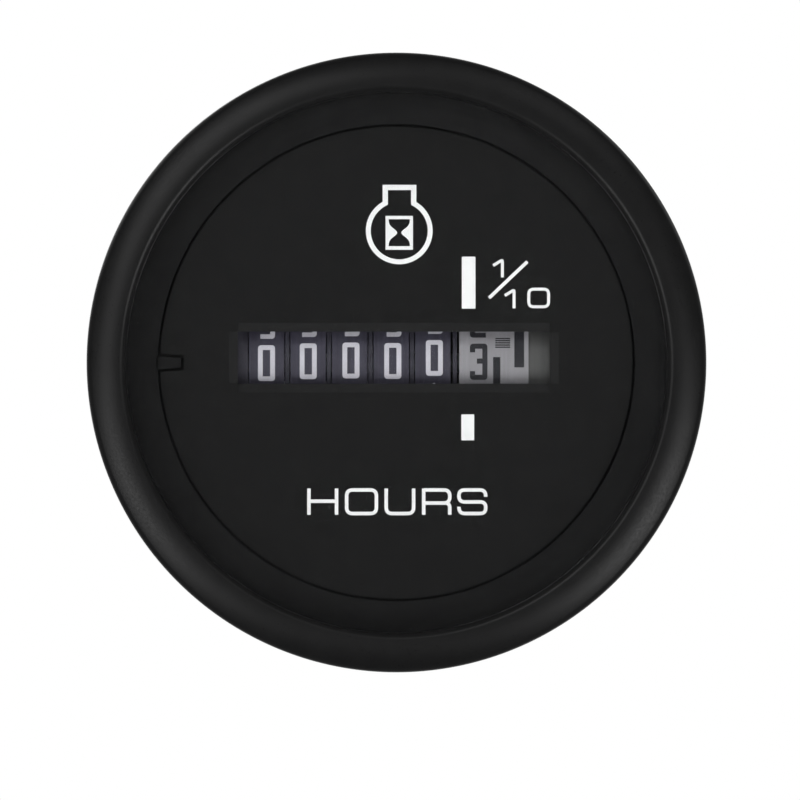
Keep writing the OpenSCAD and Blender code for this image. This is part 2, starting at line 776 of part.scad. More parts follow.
// Double pinion: a gear in the higher wheel, a journal in the carrier plate, a cam in the lower wheel
module carry_pinion(i) {
    gear_w = gear_cavity - side_play;
    cam_w = carry_cavity - side_play;
    gap_w = next_x(i) - wheel_x(i) - wheel_w;
    lobe_w = cam_r;
    color("#b8b2a4") along_x(wheel_x(i) + wheel_w, axis_y) rotate(carry_angle)
        translate([carry_centre, 0, 0]) {
            translate([0, 0, -gear_w]) linear_extrude(gear_w) polygon(gear_outline(carry_teeth,
                carry_gear_pitch_r, carry_root_r, carry_tip_r, tooth_play));
            translate([0, 0, -gear_w / 2]) cylinder(r = journal_r, h = gear_w / 2 + gap_w + cam_w / 2);
            translate([0, 0, gap_w]) linear_extrude(cam_w) intersection() {
                circle(r = cam_r);
                union() {
                    circle(r = cam_hub_r);
                    for (lobe = [0 : cam_lobes - 1]) rotate(360 * lobe / cam_lobes)
                        translate([0, -lobe_w / 2]) square([cam_r, lobe_w]);
                }
            }
        }
}

module carry_pinion_1() {
    carry_pinion(0);
}

module carry_pinion_2() {
    carry_pinion(1);
}

module carry_pinion_3() {
    carry_pinion(2);
}

module carry_pinion_4() {
    carry_pinion(3);
}

module carry_pinion_5() {
    carry_pinion(4);
}

// Large gear outside the right cheek and small pinion inside it, on one arbor
module intermediate_gear() {
    pinion_x = drive_gear_x - side_play;
    pinion_l = drive_gear_w + 2 * side_play;
    spokes = 5;
    spoke_at = intermediate_pitch_r * 0.55;
    lightening_r = intermediate_pitch_r / 5;
    color("#d8d4c8") union() {
        along_x(pinion_x, arbor_y) linear_extrude(pinion_l) rotate(180 + 180 / pinion_teeth)
            spur_gear(pinion_teeth, drive_pinion_pitch_r, drive_module);
        along_x(pinion_x, arbor_y) cylinder(r = arbor_r, h = bridge_x - side_play - pinion_x);
        along_x(pinion_x, arbor_y) cylinder(r = pivot_r, h = bridge_x + bridge_t - pinion_x);
        along_x(intermediate_x, arbor_y) linear_extrude(intermediate_gear_w) difference() {
            spur_gear(intermediate_teeth, intermediate_pitch_r, intermediate_module);
            for (k = [0 : spokes - 1]) rotate(360 * k / spokes) translate([spoke_at, 0])
                circle(r = lightening_r);
        }
    }
}

// Plate that carries the outer pivots of the intermediate gear and the rotor
module gear_bridge() {
    color(brass) difference() {
        along_x(bridge_x) linear_extrude(bridge_t) polygon([
            [bridge_post_y - bridge_arm / 2, -bridge_post_z - bridge_arm / 2],
            [bridge_post_y - bridge_arm / 2, bridge_post_z + bridge_arm / 2],
            [bridge_post_y + bridge_arm, bridge_post_z + bridge_arm / 2],
            [arbor_y, bridge_arm], [rotor_y + bridge_arm / 2, bridge_arm / 2],
            [rotor_y + bridge_arm / 2, -bridge_arm / 2], [arbor_y, -bridge_arm],
            [bridge_post_y + bridge_arm, -bridge_post_z - bridge_arm / 2]]);
        for (y = [arbor_y, rotor_y]) along_x(bridge_x - cut, y)
            cylinder(r = pivot_r + running_fit, h = bridge_t + 2 * cut);
        for (side = [-1, 1]) along_x(bridge_x - cut, bridge_post_y, side * bridge_post_z)
            cylinder(r = bridge_screw_r + shank_fit, h = bridge_t + 2 * cut);
    }
}

module bridge_screws() {
    color(steel) for (side = [-1, 1]) along_x(bridge_x + bridge_t, bridge_post_y, side * bridge_post_z)
        screw(bridge_screw_r, bridge_t + screw_hold - end_room, bridge_head_r, bridge_head_h);
}

module rotor_magnet() {
    color("#55555a") along_x(rotor_x, rotor_y) ring(rotor_r, arbor_r + shank_fit, rotor_l);
}

// Rotor staff through the right cheek: the magnet sits inside the cheek and the pinion outside it
module rotor_pinion() {
    pinion_l = intermediate_gear_w + 2 * side_play;
    color(brass) union() {
        along_x(rotor_x, rotor_y) cylinder(r = arbor_r, h = bridge_x - side_play - rotor_x);
        along_x(intermediate_x, rotor_y) cylinder(r = pivot_r, h = bridge_x + bridge_t - intermediate_x);
        along_x(intermediate_x - side_play, rotor_y) linear_extrude(pinion_l)
            rotate(180 + 180 / pinion_teeth)
                spur_gear(pinion_teeth, rotor_pinion_pitch_r, intermediate_module);
    }
}

// Pole plate round the rotor, with two legs back to the coil core
module stator() {
    pole_front = rotor_y - stator_pole_h;
    leg_back = coil_y + stator_leg / 2;
    color(steel) difference() {
        along_x(stator_x) linear_extrude(lamination_t) difference() {
            translate([pole_front, -stator_l / 2]) square([leg_back - pole_front, stator_l]);
            translate([pole_back, stator_leg - stator_l / 2])
                square([leg_back, stator_l - 2 * stator_leg]);
        }
        along_x(stator_x - cut, rotor_y) cylinder(r = stator_hole_r, h = lamination_t + 2 * cut);
        for (side = [-1, 1]) along_x(stator_x - cut, coil_y, side * coil_screw_z)
            cylinder(r = coil_screw_r + shank_fit, h = lamination_t + 2 * cut);
    }
}

module coil_core() {
    color(steel) difference() {
        union() {
            translate([core_x, coil_y - core_h / 2, -stator_l / 2]) cube([lamination_t, core_h, stator_l]);
            for (side = [-1, 1])
                translate([core_x, coil_y - core_end / 2, side * coil_screw_z - stator_leg / 2])
                    cube([lamination_t, core_end, stator_leg]);
        }
        for (side = [-1, 1]) along_x(core_x - cut, coil_y, side * coil_screw_z)
            cylinder(r = coil_screw_r + shank_fit, h = lamination_t + 2 * cut);
    }
}

// Spool round the coil core
module coil_bobbin() {
    flange_z = (bobbin_l - bobbin_flange_t) / 2;
    hole_w = lamination_t + 2 * core_room;
    hole_h = core_h + 2 * core_room;
    color("#e6e2d6") translate([coil_x, coil_y, 0]) difference() {
        union() {
            translate([-bobbin_tube_w / 2, -bobbin_tube_h / 2, -bobbin_l / 2])
                cube([bobbin_tube_w, bobbin_tube_h, bobbin_l]);
            for (side = [-1, 1])
                translate([-bobbin_w / 2, -bobbin_w / 2, side * flange_z - bobbin_flange_t / 2])
                    cube([bobbin_w, bobbin_w, bobbin_flange_t]);
        }
        translate([-hole_w / 2, -hole_h / 2, -bobbin_l]) cube([hole_w, hole_h, 2 * bobbin_l]);
    }
}

// Copper wire on the spool, square with rounded corners
module coil_winding() {
    color("#b5652b") translate([coil_x, coil_y, 0]) difference() {
        translate([0, 0, -winding_l / 2]) intersection() {
            translate([-winding_w / 2, -winding_w / 2, 0]) cube([winding_w, winding_w, winding_l]);
            cylinder(r = winding_w * winding_round, h = winding_l);
        }
        translate([-bobbin_tube_w / 2, -bobbin_tube_h / 2, -winding_l])
            cube([bobbin_tube_w, bobbin_tube_h, 2 * winding_l]);
    }
}

module coil_screws() {
    color(steel) for (side = [-1, 1]) along_x(core_x, coil_y, side * coil_screw_z) rotate([180, 0, 0])
        screw(coil_screw_r, right_outer_x - core_x, coil_head_r, coil_head_h);
}

// Posts from the bobbin's flanges to the circuit board, one at each end of the wire
module coil_pins() {
    pin_y = coil_y + bobbin_w / 2;
    color(brass) for (side = [-1, 1]) translate([coil_pin_x, pin_y, side * coil_pin_z]) about_y()
        cylinder(r = coil_pin_r, h = board_back + solder_end - pin_y);
}

module circuit_board() {
    tail_w = blade_tail_w + 2 * blade_fit;
    tail_t = blade_t + 2 * blade_fit;
    color("#1f5a38") difference() {
        translate([0, board_y, 0]) about_y() cylinder(r = board_r, h = board_t);
        for (post = board_posts) translate([post[0], board_y - cut, post[1]]) about_y()
            cylinder(r = board_screw_r + shank_fit, h = board_t + 2 * cut);
        for (side = [-1, 1]) {
            translate([side * blade_spacing / 2 - tail_w / 2, board_y - cut, blade_z - tail_t / 2])
                cube([tail_w, board_t + 2 * cut, tail_t]);
            translate([coil_pin_x, board_y - cut, side * coil_pin_z]) about_y()
                cylinder(r = coil_pin_r + shank_fit, h = board_t + 2 * cut);
        }
    }
}

// Flat package with four legs on each side
module timer_chip() {
    body = [5, 1.4, 4];
    standoff = 0.1;
    leg_w = 0.4;
    leg_t = 0.2;
    leg_reach = 1;
    leg_pitch = 1.2;
    leg_h = body[1] / 2;
    color("#202022") translate([chip_at[0], board_y, chip_at[1]]) {
        translate([-body[0] / 2, -body[1] - standoff, -body[2] / 2]) cube(body);
        for (side = [-1, 1], k = [-1.5 : 1.5]) translate([k * leg_pitch - leg_w / 2, -leg_h, 0]) {
            translate([0, 0, side * body[2] / 2 - leg_reach / 2]) cube([leg_w, leg_t, leg_reach]);
            translate([0, 0, side * (body[2] + leg_reach) / 2 - leg_t / 2]) cube([leg_w, leg_h, leg_t]);
        }
    }
}

// Can lying on the board, held by its two bent leads
module quartz_crystal() {
    can_r = 1.5;
    can_l = 7;
    lead_r = 0.25;
    lead_l = 1.4;
    color(steel) translate([crystal_at[0], board_y - can_r, crystal_at[1]]) {
        along_x() cylinder(r = can_r, h = can_l);
        for (side = [-1, 1]) translate([0, 0, side * can_r / 2]) {
            along_x(can_l) cylinder(r = lead_r, h = lead_l);
            translate([can_l + lead_l - lead_r, 0, 0]) about_y() cylinder(r = lead_r, h = can_r);
        }
    }
}

// Round can on a square foot
module capacitor() {
    foot_t = 0.6;
    foot_w = capacitor_d + 0.4;
    color("#3a4a6a") translate([capacitor_at[0], board_y, capacitor_at[1]]) union() {
        translate([-foot_w / 2, -foot_t, -foot_w / 2]) cube([foot_w, foot_t, foot_w]);
        translate([0, -capacitor_h, 0]) about_y() cylinder(r = capacitor_d / 2, h = capacitor_h);
    }
}

module resistors() {
    body = [3.2, 0.6, 1.6];
    color("#2b2b30") for (k = [0 : 2])
        translate([resistors_at[0], board_y - body[1], resistors_at[1] + resistor_pitch * k]) cube(body);
}

// Glass cylinder with a square foot at each end
module diode() {
    diode_r = 1.1;
    diode_l = 4.2;
    foot_l = 0.8;
    color("#7a3a2c") translate([diode_at[0], board_y - diode_r, diode_at[1]]) union() {
        along_x() cylinder(r = diode_r, h = diode_l);
        for (x = [0, diode_l - foot_l]) translate([x, 0, -diode_r]) cube([foot_l, diode_r, 2 * diode_r]);
    }
}

module board_screws() {
    color(steel) for (post = board_posts) translate([post[0], board_back, post[1]]) about_y()
        screw(board_screw_r, board_screw_l, board_head_r, board_head_h);
}

bezel();
lens();
lens_gasket();
trim_ring();
dial();
case();
panel_gasket();
mounting_studs();
positive_terminal();
negative_terminal();
counter_frame();
wheel_shaft();
shaft_clip();
end_collar();
ten_thousands_wheel();
thousands_wheel();
hundreds_wheel();
tens_wheel();
units_wheel();
tenths_wheel();
drive_gear();
carrier_plate_1();
carrier_plate_2();
carrier_plate_3();
carrier_plate_4();
carrier_plate_5();
carry_pinion_1();
carry_pinion_2();
carry_pinion_3();
carry_pinion_4();
carry_pinion_5();
intermediate_gear();
gear_bridge();
bridge_screws();
rotor_magnet();
rotor_pinion();
stator();
coil_core();
coil_bobbin();
coil_winding();
coil_screws();
coil_pins();
circuit_board();
timer_chip();
quartz_crystal();
capacitor();
resistors();
diode();
board_screws();
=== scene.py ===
import math

import bmesh
import bpy
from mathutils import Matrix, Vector


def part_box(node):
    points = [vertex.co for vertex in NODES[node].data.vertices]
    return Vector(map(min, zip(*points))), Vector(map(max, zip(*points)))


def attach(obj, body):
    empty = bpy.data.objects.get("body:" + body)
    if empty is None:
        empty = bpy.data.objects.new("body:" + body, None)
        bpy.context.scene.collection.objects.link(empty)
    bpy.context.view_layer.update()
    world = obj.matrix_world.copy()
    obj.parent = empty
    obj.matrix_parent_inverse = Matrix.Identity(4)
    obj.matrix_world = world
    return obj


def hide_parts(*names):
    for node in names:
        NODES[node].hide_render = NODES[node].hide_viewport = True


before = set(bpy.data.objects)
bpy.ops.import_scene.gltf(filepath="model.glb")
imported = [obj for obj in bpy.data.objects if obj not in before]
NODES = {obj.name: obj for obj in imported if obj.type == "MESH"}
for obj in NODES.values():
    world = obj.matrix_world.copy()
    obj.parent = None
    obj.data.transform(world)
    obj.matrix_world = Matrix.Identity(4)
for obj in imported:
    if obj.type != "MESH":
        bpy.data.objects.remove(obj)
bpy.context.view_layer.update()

# Lengths are in millimetres, as in the CAD source, and turn into metres when a mesh is made.
# X runs to the right of the face, Y from the face to the back, and Z up.
MM = 0.001
SCENE = bpy.context.scene


# Shader nodes

# The range that most of a noise lies in
NOISE_LOW, NOISE_HIGH = 0.3, 0.7


def noise(tree, scale, detail, stretch):
    """Noise in the object's own coordinates, so it turns with the piece."""
    coords = tree.nodes.new("ShaderNodeTexCoord")
    place = tree.nodes.new("ShaderNodeMapping")
    place.inputs["Scale"].default_value = stretch
    texture = tree.nodes.new("ShaderNodeTexNoise")
    texture.inputs["Scale"].default_value = scale
    texture.inputs["Detail"].default_value = detail
    tree.links.new(coords.outputs["Object"], place.inputs["Vector"])
    tree.links.new(place.outputs["Vector"], texture.inputs["Vector"])
    return texture.outputs["Fac"]


def remap(tree, value, start, end, low=0.0, high=1.0):
    """Maps the range from start to end to the one from low to high."""
    node = tree.nodes.new("ShaderNodeMapRange")
    node.inputs["From Min"].default_value = start
    node.inputs["From Max"].default_value = end
    node.inputs["To Min"].default_value = low
    node.inputs["To Max"].default_value = high
    tree.links.new(value, node.inputs["Value"])
    return node.outputs["Result"]


def spread(tree, value, low, high):
    """Maps the middle of a noise to the range from low to high."""
    return remap(tree, value, NOISE_LOW, NOISE_HIGH, low, high)


def blend(tree, factor, first, second):
    """Mixes two colours; each is a tuple or another node's socket."""
    node = tree.nodes.new("ShaderNodeMix")
    node.data_type = "RGBA"
    for name, colour in (("A", first), ("B", second)):
        if isinstance(colour, tuple):
            node.inputs[name].default_value = (*colour, 1)
        else:
            tree.links.new(colour, node.inputs[name])
    tree.links.new(factor, node.inputs["Factor"])
    return node.outputs["Result"]


def combine(tree, operation, first, second, clamp=False):
    """Sum or product of a socket and another socket or number."""
    node = tree.nodes.new("ShaderNodeMath")
    node.operation = operation
    node.use_clamp = clamp
    tree.links.new(first, node.inputs[0])
    if isinstance(second, float):
        node.inputs[1].default_value = second
    else:
        tree.links.new(second, node.inputs[1])
    return node.outputs["Value"]


def grey_ramp(tree, value, stops, interpolation="LINEAR"):
    """Grey level at each place along a value."""
    node = tree.nodes.new("ShaderNodeValToRGB")
    node.color_ramp.interpolation = interpolation
    elements = node.color_ramp.elements
    elements.remove(elements[1])
    for k, (place, level) in enumerate(stops):
        element = elements.new(place) if k else elements[0]
        element.position = place
        element.color = (level, level, level, 1)
    tree.links.new(value, node.inputs["Fac"])
    return node.outputs["Color"]


def depth_part(tree, kind):
    """Y part of a direction: -1 towards the front, 1 towards the back."""
    coords = tree.nodes.new("ShaderNodeTexCoord")
    split = tree.nodes.new("ShaderNodeSeparateXYZ")
    tree.links.new(coords.outputs[kind], split.inputs["Vector"])
    return split.outputs["Y"]


# Materials

# Lean of the dial's bevels, where light is painted on, from 0 for a face that looks to the front to 1 for one
# that looks to the back
BEVEL_START, BEVEL_END = 0.02, 0.2


def surface(name, colour, rough, metallic=0.0, specular=0.5, grain=4000, vary=0.12, rough_vary=0.06,
            bump=0.12, relief=0.01, stretch=(1, 1, 1), coarse=0.1):
    """Finish with slow colour changes, uneven gloss and a fine relief, all from noise."""
    material = bpy.data.materials.new(name)
    material.use_nodes = True
    tree = material.node_tree
    shader = tree.nodes["Principled BSDF"]
    shader.inputs["Metallic"].default_value = metallic
    shader.inputs["Specular IOR Level"].default_value = specular
    patches = spread(tree, noise(tree, grain * coarse, 4, stretch), 0, 1)
    fine = noise(tree, grain, 3, stretch)
    dark = tuple(c * (1 - vary) for c in colour)
    light = tuple(c * (1 + vary) for c in colour)
    tree.links.new(blend(tree, patches, dark, light), shader.inputs["Base Color"])
    tree.links.new(spread(tree, fine, rough - rough_vary, rough + rough_vary), shader.inputs["Roughness"])
    height = tree.nodes.new("ShaderNodeBump")
    height.inputs["Strength"].default_value = bump
    height.inputs["Distance"].default_value = relief * MM
    tree.links.new(fine, height.inputs["Height"])
    tree.links.new(height.outputs["Normal"], shader.inputs["Normal"])
    return material


def clear_plastic(name):
    """Clear sheet that lets the lamps through to what lies behind it."""
    material = surface(name, (0.97, 0.98, 0.98), 0.03, vary=0.01, rough_vary=0.02, bump=0.02, grain=600)
    tree = material.node_tree
    shader = tree.nodes["Principled BSDF"]
    shader.inputs["Transmission Weight"].default_value = 1.0
    shader.inputs["IOR"].default_value = 1.49
    through = tree.nodes.new("ShaderNodeBsdfTransparent")
    path = tree.nodes.new("ShaderNodeLightPath")
    mix = tree.nodes.new("ShaderNodeMixShader")
    out = tree.nodes["Material Output"]
    tree.links.new(path.outputs["Is Shadow Ray"], mix.inputs["Fac"])
    tree.links.new(shader.outputs["BSDF"], mix.inputs[1])
    tree.links.new(through.outputs["BSDF"], mix.inputs[2])
    tree.links.new(mix.outputs["Shader"], out.inputs["Surface"])
    return material


def paint_light_on_bevels(material, colour):
    """Paints light on the bevels, which lean a little away from the front: a lighter colour stands in for the
    light they catch.
    """
    tree = material.node_tree
    base = tree.nodes["Principled BSDF"].inputs["Base Color"]
    lean = remap(tree, depth_part(tree, "Normal"), -1, 1)
    # Mask of the bevels, where the painted light goes
    bevels = grey_ramp(tree, lean, ((0, 0), (BEVEL_START, 1), (BEVEL_END, 0)), "CONSTANT")
    tree.links.new(blend(tree, bevels, base.links[0].from_socket, colour), base)


# Stretches the noise into fine rings round the wheels' axis
ROUND_X = (1, 0.02, 0.02)
BEZEL = surface("bezel_satin", (0.0088, 0.0088, 0.0090), 0.33, specular=0.18, grain=5000, bump=0.2)
TRIM = surface("trim_matt", (0.0117, 0.0117, 0.0119), 0.72, specular=0.06, grain=5000, bump=0.2)
CASE = surface("case_moulded", (0.012, 0.012, 0.0125), 0.5, grain=3000, bump=0.3, relief=0.02)
DIAL = surface("dial_paint", (0.0126, 0.0126, 0.0126), 0.85, specular=0.05, grain=6000, bump=0.2)
INK = surface("dial_ink", (0.95, 0.95, 0.95), 0.6, grain=6000, vary=0.03, bump=0.1)
RUBBER = surface("rubber", (0.014, 0.014, 0.014), 0.85, specular=0.3, grain=2500, bump=0.4, relief=0.02)
WHEEL = surface("wheel_black", (0.0455, 0.0428, 0.0625), 0.5, specular=0.25, grain=9000, vary=0.2, bump=0.25,
                stretch=ROUND_X, coarse=0.3)
FIGURE = surface("figure_white", (0.60, 0.585, 0.64), 0.5, grain=5000, vary=0.06, bump=0.15)
TENTHS = surface("tenths_white", (0.28, 0.272, 0.291), 0.5, grain=9000, vary=0.08, bump=0.2, stretch=ROUND_X,
                 coarse=0.3)
MARK = surface("figure_dark", (0.018, 0.018, 0.023), 0.6, specular=0.3, grain=5000, vary=0.15)
COLLAR = surface("collar_grey", (0.072, 0.072, 0.071), 0.5, grain=9000, vary=0.12, bump=0.2, stretch=ROUND_X,
                 coarse=0.3)
END_COLLAR = surface("collar_dark", (0.062, 0.059, 0.078), 0.5, specular=0.25, grain=8000, stretch=ROUND_X,
                     coarse=0.3)
FRAME = surface("frame_plastic", (0.010, 0.010, 0.0105), 0.7, specular=0.08, grain=3000, bump=0.25)
STEEL = surface("steel", (0.56, 0.57, 0.58), 0.32, metallic=1, grain=6000, vary=0.06, bump=0.1)
CARRIER = surface("blackened_steel", (0.034, 0.0325, 0.045), 0.5, specular=0.25, grain=5000, vary=0.15)
LAMINATION = surface("electrical_steel", (0.40, 0.41, 0.43), 0.4, metallic=1, grain=4000, vary=0.15,
                     stretch=(1, 1, 0.05))
BRASS = surface("brass", (0.72, 0.52, 0.22), 0.44, metallic=1, grain=5000, vary=0.06, bump=0.04)
ACETAL = surface("acetal", (0.66, 0.63, 0.55), 0.42, grain=3000, vary=0.05)
MAGNET = surface("magnet", (0.09, 0.09, 0.10), 0.5, metallic=0.6, grain=8000, vary=0.3, bump=0.3)
COPPER = surface("copper_wire", (0.55, 0.20, 0.07), 0.3, metallic=0.9, grain=9000, vary=0.3, bump=0.8,
                 relief=0.05, stretch=(0.02, 0.02, 1))
BOARD = surface("board_green", (0.012, 0.075, 0.032), 0.35, grain=2500, vary=0.25, bump=0.25, coarse=0.4)
CHIP = surface("chip_black", (0.014, 0.014, 0.015), 0.55, grain=6000, bump=0.3)
CAN = surface("capacitor_sleeve", (0.03, 0.05, 0.11), 0.35, grain=3000, bump=0.1)
DIODE = surface("diode_glass", (0.28, 0.07, 0.03), 0.2, grain=3000, bump=0.1)
SOLDER = surface("solder", (0.50, 0.51, 0.52), 0.28, metallic=1, grain=4000, vary=0.1, bump=0.2)
LENS = clear_plastic("lens_clear")
# Painted light: the dial's bevels get a lighter colour in place of the light they catch
paint_light_on_bevels(DIAL, (0.0195, 0.0195, 0.0197))

FINISH = {
    BEZEL: ["bezel"], TRIM: ["trim_ring"], CASE: ["case"], DIAL: ["dial"], LENS: ["lens"],
    RUBBER: ["lens_gasket", "panel_gasket"],
    STEEL: ["mounting_studs", "wheel_shaft", "shaft_clip", "bridge_screws", "coil_screws", "board_screws",
            "quartz_crystal"],
    BRASS: ["positive_terminal", "negative_terminal", "gear_bridge", "rotor_pinion", "coil_pins"],
    FRAME: ["counter_frame"], END_COLLAR: ["end_collar"],
    WHEEL: ["ten_thousands_wheel", "thousands_wheel", "hundreds_wheel", "tens_wheel", "units_wheel"],
    TENTHS: ["tenths_wheel"], COLLAR: ["drive_gear"],
    CARRIER: ["carrier_plate_1", "carrier_plate_2", "carrier_plate_3", "carrier_plate_4", "carrier_plate_5"],
    ACETAL: ["carry_pinion_1", "carry_pinion_2", "carry_pinion_3", "carry_pinion_4", "carry_pinion_5",
             "intermediate_gear", "coil_bobbin"],
    MAGNET: ["rotor_magnet"], LAMINATION: ["stator", "coil_core"], COPPER: ["coil_winding"],
    BOARD: ["circuit_board"], CHIP: ["timer_chip", "resistors"], CAN: ["capacitor"], DIODE: ["diode"],
}
for finish, names in FINISH.items():
    for name in names:
        NODES[name].data.materials.clear()
        NODES[name].data.materials.append(finish)


# Meshes

# Points closer than this, in metres, become one
WELD = 1e-7


def piece(name, verts, faces, material, slot, body="root", smooth=None, replaced=()):
    """A new solid that rides on a CAD body."""
    mesh = bpy.data.meshes.new(name)
    mesh.from_pydata([Vector(v) * MM for v in verts], [], faces)
    work = bmesh.new()
    work.from_mesh(mesh)
    bmesh.ops.remove_doubles(work, verts=work.verts, dist=WELD)
    bmesh.ops.recalc_face_normals(work, faces=work.faces)
    work.to_mesh(mesh)
    work.free()
    mesh.materials.append(material)
    if smooth is not None:
        mesh.shade_smooth()
        mesh.set_sharp_from_angle(angle=math.radians(smooth))
    obj = bpy.data.objects.new(name, mesh)
    SCENE.collection.objects.link(obj)
    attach(obj, body)
    if replaced:
        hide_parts(*replaced)


def arc(centre, radius, start, end, steps):
    """Points on an arc in a profile of radius and depth; radius may be a pair."""
    a, b = radius if isinstance(radius, tuple) else (radius, radius)
    turns = [math.radians(start + (end - start) * k / steps) for k in range(steps + 1)]
    return [(centre[0] + a * math.cos(t), centre[1] + b * math.sin(t)) for t in turns]


def revolve(profile, steps=240):
    """Closed profile of radius and depth, turned round the Y axis."""
    verts = []
    faces = []
    count = len(profile)
    for k in range(steps):
        t = 2 * math.pi * k / steps
        verts += [(r * math.cos(t), y, r * math.sin(t)) for r, y in profile]
        for i in range(count):
            j = (i + 1) % count
            m = (k + 1) % steps
            faces.append((k * count + i, k * count + j, m * count + j, m * count + i))
    return verts, faces


def moved(solid, x, z=0.0):
    """Copy of a solid at another place."""
    return [(a + x, b, c + z) for a, b, c in solid[0]], solid[1]


def joined(*solids):
    """Several solids as one list of points and one of faces."""
    verts = []
    faces = []
    for points, sides in solids:
        faces += [tuple(len(verts) + i for i in f) for f in sides]
        verts += points
    return verts, faces


# Bezel and trim ring, with the CAD profiles and smoother curves

BEZEL_R, OPENING_R, SKIRT_R = 30.0, 26.15, 28.55
FRONT_Y, LENS_Y, SKIRT_Y, SKIRT_CHAMFER = -9.2, -8.2, -0.3, 0.12
SLOPE, EDGE_R, LIP_LAND, LIP_R = 24.0, 0.9, 0.8, 0.7
# The catch inside the skirt, which holds the bezel on the case
CATCH_R, CATCH_LEAD_R, CATCH_LEAD_Y, CATCH_Y = 28.15, 28.35, -0.72, -1.15
crown_in = OPENING_R + LIP_LAND
slope = math.radians(SLOPE)
crown_r = (BEZEL_R - EDGE_R * (1 - math.sin(slope)) - crown_in) / math.sin(slope)
edge_y = FRONT_Y + crown_r * (1 - math.cos(slope)) + EDGE_R * math.cos(slope)
bezel_profile = (
    [(SKIRT_R, LENS_Y), (OPENING_R, LENS_Y)]
    + arc((OPENING_R + LIP_R, FRONT_Y + LIP_R), LIP_R, 180, 270, steps=14)
    + arc((crown_in, FRONT_Y + crown_r), crown_r, 270, 270 + SLOPE, steps=24)
    + arc((BEZEL_R - EDGE_R, edge_y), EDGE_R, 270 + SLOPE, 360, steps=20)[1:]
    + [(BEZEL_R, SKIRT_Y - SKIRT_CHAMFER), (BEZEL_R - SKIRT_CHAMFER, SKIRT_Y), (CATCH_LEAD_R, SKIRT_Y),
       (CATCH_R, CATCH_LEAD_Y), (CATCH_R, CATCH_Y), (SKIRT_R, CATCH_Y)])
piece("bezel_ring", *revolve(bezel_profile, steps=288), BEZEL, "satin_black", smooth=30, replaced=["bezel"])

TRIM_R, COVE_FOOT, COVE_R, TRIM_OUT = 23.18, 23.33, 26.4, 27.45
DIAL_Y, COVE_Y, TRIM_BACK_Y = -3.2, -6.0, -2.4
KEY_L, KEY_W, KEY_TIP_W = 2.4, 1.3, 0.9
cove = arc((COVE_FOOT, COVE_Y), (COVE_R - COVE_FOOT, DIAL_Y - COVE_Y), 90, 0, steps=40)
trim_profile = [(TRIM_R, TRIM_BACK_Y), (TRIM_R, DIAL_Y)] + cove + [(TRIM_OUT, COVE_Y), (TRIM_OUT, TRIM_BACK_Y)]
ring = revolve(trim_profile)
key_ends = ((-COVE_FOOT, KEY_W), (KEY_L - COVE_FOOT, KEY_TIP_W))
key_tab = ([(x, y, z) for x, w in key_ends for y in (DIAL_Y, TRIM_BACK_Y) for z in (-w / 2, w / 2)],
           [(0, 1, 3, 2), (4, 6, 7, 5), (0, 4, 5, 1), (2, 3, 7, 6), (0, 2, 6, 4), (1, 5, 7, 3)])
piece("cove_ring", *joined(ring, key_tab), TRIM, "satin_black", smooth=30, replaced=["trim_ring"])


# Print: strokes and patches laid on the dial or wrapped round a wheel

# Keeps a print's shapes apart where they cross
LIFT = 0.00004
STRAIGHT_STEP, SHORTEST_RUN, CORNER_STEPS = 0.25, 1e-6, 8
# Least cosine of half a bend, which limits how far a stroke's corner reaches out
MITRE = 0.5
# A corner takes up to half of a run that it shares with the next one, and nearly all of an end run
SHARED_RUN, END_RUN = 0.49, 0.95


class Print:
    """Collects thin solids for one printed piece."""

    def __init__(self, place, depth=0.02, sink=0.01):
        self.place = place
        self.depth = depth
        self.sink = sink
        self.verts = []
        self.faces = []

    def _layers(self, points):
        """Upper and lower copies of the points; each new shape stands a hair higher, so none coincide."""
        high = self.depth + LIFT * len(self.faces) ** 0.5
        base = len(self.verts)
        self.verts += [self.place(u, v, high) for u, v in points]
        self.verts += [self.place(u, v, -self.sink) for u, v in points]
        return base, base + len(points)

    def patch(self, outline):
        """Shape with a given outline."""
        top, low = self._layers(outline)
        count = len(outline)
        self.faces.append(tuple(top + i for i in range(count)))
        self.faces.append(tuple(low + i for i in reversed(range(count))))
        for i in range(count):
            j = (i + 1) % count
            self.faces.append((top + i, low + i, low + j, top + j))

    def box(self, u0, v0, u1, v1):
        """Upright rectangle between two corners."""
        self.patch([(u0, v0), (u1, v0), (u1, v1), (u0, v1)])

    def stroke(self, points, width, radius=0.0, closed=False):
        """Line of even width along a path with rounded corners."""
        path = soften(points, radius, closed)
        left = []
        right = []
        count = len(path)
        for i, (u, v) in enumerate(path):
            before = path[i - 1] if closed or i else path[0]
            after = path[(i + 1) % count] if closed or i < count - 1 else path[-1]
            a = Vector((u - before[0], v - before[1]))
            b = Vector((after[0] - u, after[1] - v))
            a = a.normalized() if a.length else b.normalized()
            b = b.normalized() if b.length else a
            along = (a + b).normalized()
            reach = width / 2 / max(along.dot(a), MITRE)
            left.append((u - along.y * reach, v + along.x * reach))
            right.append((u + along.y * reach, v - along.x * reach))
        top, low = self._layers(left + right)
        for i in range(count if closed else count - 1):
            j = (i + 1) % count
            self.faces.append((top + i, top + j, top + count + j, top + count + i))
            self.faces.append((low + i, low + count + i, low + count + j, low + j))
            self.faces.append((top + i, low + i, low + j, top + j))
            self.faces.append((top + count + i, top + count + j, low + count + j, low + count + i))
        if not closed:
            for i in (0, count - 1):
                self.faces.append((top + i, top + count + i, low + count + i, low + i))

    def make(self, name, material, slot, body="root"):
        """Turns what was collected into a piece."""
        piece(name, self.verts, self.faces, material, slot, body)


